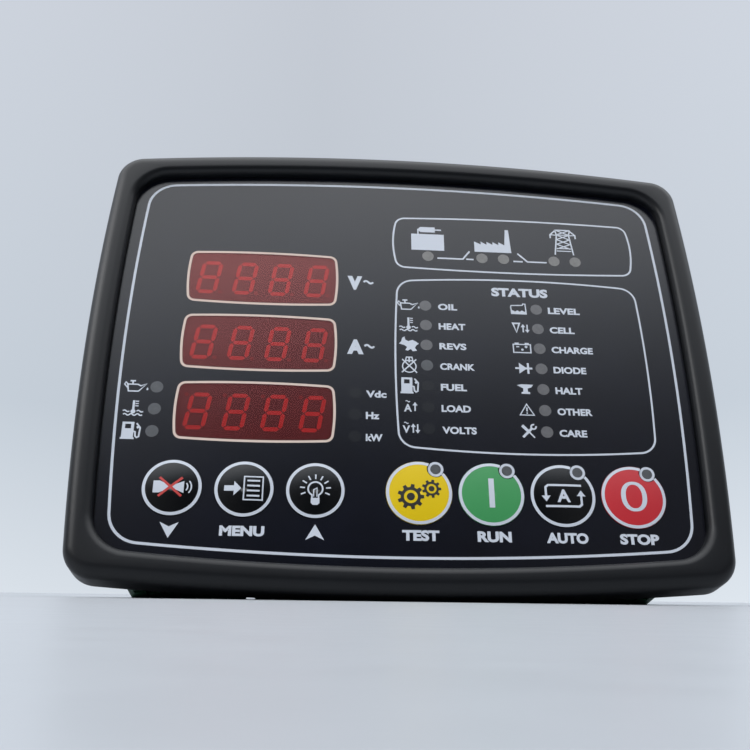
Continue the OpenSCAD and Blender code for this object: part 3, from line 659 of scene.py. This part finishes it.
def bezel():
    """The bezel with a finely drawn rim, which stands for the coarser one of the solids."""
    bm = bmesh.new()
    bm.from_mesh(nodes["front_bezel"].data)
    front = [f for f in bm.faces if min(v.co.y for v in f.verts) < -(PLATE_FRONT + 0.01) * MM]
    bmesh.ops.delete(bm, geom=front, context="FACES")

    def outside(inset, z):
        return [(x, z, y) for x, y in bowed(BEZEL_W - 2 * inset, BEZEL_H - 2 * inset, BOW_R - inset,
                                            BOW_R - inset, CORNER_OUT - inset, low=LOW_BOW_R - inset)]

    def inside(grow, z):
        return [(x, z, y) for x, y in bowed(FACE_W + 2 * grow, FACE_H + 2 * grow, BOW_R + grow,
                                            BOW_R + grow, CORNER_IN + grow)]

    # The first strip closes the rim behind, where its corners stand out past those of the solids.
    hem = bowed(BEZEL_W - 2 * HEM_W, BEZEL_H - 2 * HEM_W, BOW_R - HEM_W, BOW_R - HEM_W, CAD_CORNER - HEM_W)
    loops = [[(x, HEM_LIFT, y) for x, y in hem], outside(0, HEM_LIFT)]
    turns = [math.pi / 2 * i / ROLL_STEPS for i in range(ROLL_STEPS + 1)]
    for turn in turns:
        loops.append(outside(ROLL_R * (1 - math.cos(turn)), BEZEL_T - ROLL_R * (1 - math.sin(turn))))
    for turn in turns:
        loops.append(inside(SHOULDER_R * (1 - math.sin(turn)), BEZEL_T - SHOULDER_R * (1 - math.cos(turn))))
    loops.append(inside(0, PLATE_FRONT))
    rows = [[bm.verts.new((x * MM, -z * MM, y * MM)) for x, z, y in loop] for loop in loops]
    count = len(rows[0])
    for a, b in zip(rows, rows[1:]):
        for i in range(count):
            j = (i + 1) % count
            bm.faces.new((a[i], b[i], b[j], a[j])).smooth = a is not rows[0]
    mesh = bpy.data.meshes.new("bezel")
    bm.to_mesh(mesh)
    bm.free()
    mesh.materials.append(MATERIALS["bezel_plastic"])
    piece = bpy.data.objects.new("bezel", mesh)
    bpy.context.scene.collection.objects.link(piece)
    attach(piece, "controller")
    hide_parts("front_bezel")


# Half width of a digit's cell that its segments fill, and how bright the colour and painted glow of its point
# are beside them
SEGMENT_REACH = 3.8
POINT_GLOW = 0.25


def faint_points():
    """Makes the decimal points fainter than the segments, by their place beside the slanted digits: it scales
    both their colour and the painted glow of the digits.
    """
    tree = MATERIALS["digit_red"].node_tree
    shader = tree.nodes["Principled BSDF"]
    place = tree.nodes.new("ShaderNodeTexCoord")
    parts = tree.nodes.new("ShaderNodeSeparateXYZ")
    tree.links.new(place.outputs["Object"], parts.inputs[0])

    def step(kind, *values):
        node = tree.nodes.new("ShaderNodeMath")
        node.operation = kind
        for socket, value in zip(node.inputs, values):
            if isinstance(value, float):
                socket.default_value = value
            else:
                tree.links.new(value, socket)
        return node.outputs[0]

    half = (DISPLAY_Y[0] - DISPLAY_Y[1]) / 2 * MM
    up = step("WRAP", step("SUBTRACT", parts.outputs["Z"], DISPLAY_Y[1] * MM), half, -half)
    across = step("SUBTRACT", step("SUBTRACT", parts.outputs["X"], DISPLAY_X * MM),
                  step("MULTIPLY", up, math.tan(math.radians(DIGIT_LEAN))))
    beside = step("SUBTRACT", step("WRAP", across, DIGIT_PITCH * MM, 0.0), DIGIT_PITCH / 2 * MM)
    segment = step("LESS_THAN", step("ABSOLUTE", beside), SEGMENT_REACH * MM)
    glow = step("MULTIPLY_ADD", segment, 1 - POINT_GLOW, POINT_GLOW)
    tint = tree.nodes.new("ShaderNodeVectorMath")
    tint.operation = "SCALE"
    tree.links.new(shader.inputs["Base Color"].links[0].from_socket, tint.inputs[0])
    tree.links.new(glow, tint.inputs["Scale"])
    tree.links.new(tint.outputs[0], shader.inputs["Base Color"])
    tree.links.new(glow, shader.inputs["Emission Strength"])


faint_points()
bezel()
face_print()
key_prints()


# Camera and table, measured from the photograph; EYE is in millimetres and TURN in radians

FOCAL_PX = 988.2
FRAME_PX = 750
CENTRE_PX = (18.77, 7.22)
SENSOR = 36.0
NEAREST = 0.001
TURN = (-0.4817, -0.0798, 0.0307)
EYE = Vector((-29.02, -288.38, -157.17))
TABLE_UP = Vector((0.0006, -0.2636, 0.9646)).normalized()
TABLE_RISE = 0.0003
TABLE_CORNERS = ((-2, -0.4), (2, -0.4), (2, 1.6), (-2, 1.6))


def make_camera():
    rx, ry, rz = TURN
    to_view = Matrix.Rotation(rz, 3, "Z") @ Matrix.Rotation(ry, 3, "Y") @ Matrix.Rotation(rx, 3, "X")
    right, down, ahead = (Vector((v.x, v.z, -v.y)) for v in to_view.row)
    data = bpy.data.cameras.new("camera")
    data.sensor_width = SENSOR
    data.lens = FOCAL_PX * SENSOR / FRAME_PX
    data.shift_x = -CENTRE_PX[0] / FRAME_PX
    data.shift_y = CENTRE_PX[1] / FRAME_PX
    data.clip_start = NEAREST
    camera = bpy.data.objects.new("camera", data)
    bpy.context.scene.collection.objects.link(camera)
    axes = Matrix((right, -down, -ahead)).transposed()
    camera.matrix_world = Matrix.Translation(EYE * MM) @ axes.to_4x4()
    bpy.context.scene.camera = camera


def make_floor():
    """The table that the controller leans on, resting on its bezel and its lower plugs."""
    back = Vector((0, 1, 0)).cross(TABLE_UP).cross(TABLE_UP).normalized() * -1
    side = back.cross(TABLE_UP)
    foot = Vector((0.0, 0.0, cad_box[0][2])) + TABLE_UP * TABLE_RISE
    bm = bmesh.new()
    bm.faces.new([bm.verts.new(foot + side * x + back * y) for x, y in TABLE_CORNERS])
    bmesh.ops.recalc_face_normals(bm, faces=bm.faces[:])
    mesh = bpy.data.meshes.new("floor")
    bm.to_mesh(mesh)
    bm.free()
    mesh.materials.append(surface("floor", "#a8acb1", 0.4, 0.05, 0.02, 300, 0.02, 6.0))
    floor = bpy.data.objects.new("floor", mesh)
    bpy.context.scene.collection.objects.link(floor)


def make_light():
    """A dim room that brightens upwards and shows in the film, a pale wall behind, and two lamps."""
    world = bpy.data.worlds.new("studio")
    bpy.context.scene.world = world
    world.use_nodes = True
    tree = world.node_tree
    place = tree.nodes.new("ShaderNodeTexCoord")
    parts = tree.nodes.new("ShaderNodeSeparateXYZ")
    tree.links.new(place.outputs["Generated"], parts.inputs["Vector"])

    def ramp(value, low, high, stops):
        span = tree.nodes.new("ShaderNodeMapRange")
        span.inputs["From Min"].default_value = low
        span.inputs["From Max"].default_value = high
        tree.links.new(value, span.inputs["Value"])
        scale = tree.nodes.new("ShaderNodeValToRGB")
        elements = scale.color_ramp.elements
        while len(elements) < len(stops):
            elements.new(0.5)
        for element, (at, colour) in zip(elements, stops):
            element.position = (at - low) / (high - low)
            element.color = (*colour, 1)
        tree.links.new(span.outputs["Result"], scale.inputs["Fac"])
        return scale.outputs["Color"]

    def blend(kind, factor, a, b):
        mix = tree.nodes.new("ShaderNodeMix")
        mix.data_type = "RGBA"
        mix.blend_type = kind
        mix.inputs[0].default_value = 1.0
        if factor is not None:
            tree.links.new(factor, mix.inputs[0])
        tree.links.new(a, mix.inputs[6])
        tree.links.new(b, mix.inputs[7])
        return mix.outputs[2]

    def greys(stops):
        return tuple((at, (value, value, value)) for at, value in stops)

    across, up = parts.outputs["X"], parts.outputs["Z"]
    lift = tree.nodes.new("ShaderNodeMath")
    tree.links.new(ramp(across, -1, 1, greys(((-0.3, 0.08), (0.0, 0.0), (0.35, 0.005)))), lift.inputs[0])
    tree.links.new(up, lift.inputs[1])
    room = ramp(lift.outputs[0], -1, 1, ((-1, (0.03, 0.035, 0.04)), (0.38, (0.004, 0.005, 0.007)),
                                         (0.43, (0.04, 0.045, 0.055)), (0.47, (0.18, 0.2, 0.23)),
                                         (0.53, (0.52, 0.56, 0.62)), (0.6, (0.93, 0.96, 1.0))))
    sides = ramp(across, -1, 1, greys(((-0.3, 0.8), (0.0, 0.99), (0.35, 0.87))))
    glow = ramp(across, -1, 1, greys(((-0.3, 0.06), (0.0, 0.0), (0.35, 0.055))))
    room = blend("ADD", None, blend("MULTIPLY", None, room, sides), glow)
    wall = ramp(up, -1, 1, ((-0.2, (0.18, 0.2, 0.22)), (0.24, (0.262, 0.283, 0.306)),
                            (0.42, (0.205, 0.227, 0.253)), (0.8, (0.23, 0.244, 0.27))))
    edges = ramp(across, -1, 1, greys(((-0.4, 1.0), (0.0, 0.88), (0.4, 1.0))))
    wall = blend("MULTIPLY", None, wall, edges)
    behind = ramp(parts.outputs["Y"], -1, 1, ((-0.1, (0, 0, 0)), (0.3, (1, 1, 1))))
    colour = blend("MIX", behind, room, wall)
    tree.links.new(colour, tree.nodes["Background"].inputs["Color"])
    tree.nodes["Background"].inputs["Strength"].default_value = 2.8
    lamps = (("over", (-0.1, -0.25, 0.75), 0.7, 0.5), ("left", (-0.7, -0.5, 0.35), 0.5, 3.0))
    for name, at, size, power in lamps:
        data = bpy.data.lights.new(name, "AREA")
        data.size = size
        data.energy = power
        lamp = bpy.data.objects.new(name, data)
        lamp.location = at
        lamp.rotation_euler = (-Vector(at)).to_track_quat("-Z", "Y").to_euler()
        bpy.context.scene.collection.objects.link(lamp)


make_camera()
make_floor()
make_light()
bpy.context.scene.view_settings.view_transform = "Standard"
